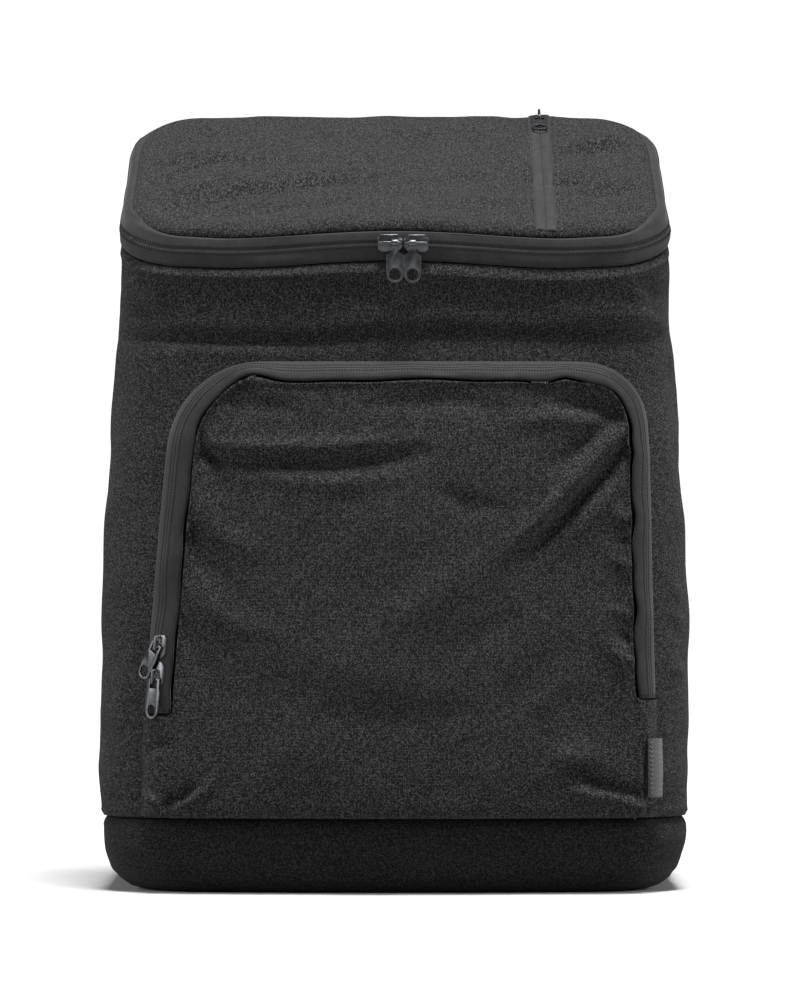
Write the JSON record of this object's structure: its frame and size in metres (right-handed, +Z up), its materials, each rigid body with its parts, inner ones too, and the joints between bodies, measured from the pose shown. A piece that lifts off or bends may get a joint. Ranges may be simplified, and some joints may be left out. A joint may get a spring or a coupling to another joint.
{
  "type": "cooler backpack",
  "caption": "Box-shaped insulated backpack with a sloping zipped lid, a zipped front pocket, padded shoulder straps and a haul handle, standing closed on its base.",
  "frame": {"origin": "centre of the base's flat underside", "axes": "+Z up, -Y out of the front with the pocket, +Y towards the wearer's back, +X to the right seen from the front"},
  "size_m": [0.316, 0.2752, 0.4267],
  "materials": {
    "heather_cloth": "matte heathered plain weave",
    "base_cloth": "matte heathered plain weave, darker",
    "zip_tape": "smooth coated zip tape",
    "back_mesh": "matte padded spacer mesh",
    "webbing": "ribbed woven webbing",
    "zip_metal": "polished black nickel",
    "buckle_plastic": "satin moulded"
  },
  "bodies": {
    "bag": {"base_tub": "base_cloth", "body_shell": "heather_cloth", "back_panel": "back_mesh", "lid_panel": "heather_cloth", "main_zip_tape": "zip_tape", "lid_zip_tape": "zip_tape", "pocket_zip_tape": "zip_tape", "pocket_panel": "heather_cloth", "pocket_gusset_left": "heather_cloth", "pocket_gusset_right": "heather_cloth", "seam_loop": "webbing", "haul_handle": "webbing", "main_zip_slider_left": "zip_metal", "shoulder_strap_left": "back_mesh", "ladder_lock_left": "buckle_plastic", "strap_webbing_left": "webbing", "strap_anchor_left": "heather_cloth", "main_zip_slider_right": "zip_metal", "shoulder_strap_right": "back_mesh", "ladder_lock_right": "buckle_plastic", "strap_webbing_right": "webbing", "strap_anchor_right": "heather_cloth", "lid_zip_slider": "zip_metal", "pocket_zip_slider_upper": "zip_metal", "pocket_zip_slider_lower": "zip_metal"},
    "main_zip_pull_left": {"main_zip_pull_left": "zip_metal"},
    "main_zip_pull_right": {"main_zip_pull_right": "zip_metal"},
    "lid_zip_pull": {"lid_zip_pull": "zip_metal"},
    "pocket_zip_pull_upper": {"pocket_zip_pull_upper": "zip_metal"},
    "pocket_zip_pull_lower": {"pocket_zip_pull_lower": "zip_metal"}
  },
  "joints": [
    {"name": "main_zip_pull_left_swing", "type": "hinge", "parent": "bag", "child": "main_zip_pull_left", "pos_m": [0.00025, -0.1005, 0.34486], "axis": [-1, 0, 0], "range_deg": [0, 150]},
    {"name": "main_zip_pull_right_swing", "type": "hinge", "parent": "bag", "child": "main_zip_pull_right", "pos_m": [0.0095, -0.1005, 0.3447], "axis": [-1, 0, 0], "range_deg": [0, 150]},
    {"name": "lid_zip_pull_swing", "type": "hinge", "parent": "bag", "child": "lid_zip_pull", "pos_m": [0.0805, 0.07548, 0.42135], "axis": [-1, 0, 0], "range_deg": [0, 130]},
    {"name": "pocket_zip_pull_upper_swing", "type": "hinge", "parent": "bag", "child": "pocket_zip_pull_upper", "pos_m": [-0.12562, -0.098, 0.13243], "axis": [-0.5899, 0.6154, 0.5227], "range_deg": [0, 100]},
    {"name": "pocket_zip_pull_lower_swing", "type": "hinge", "parent": "bag", "child": "pocket_zip_pull_lower", "pos_m": [-0.12708, -0.0978, 0.11393], "axis": [-0.7047, 0.7068, 0.0623], "range_deg": [0, 130]}
  ]
}
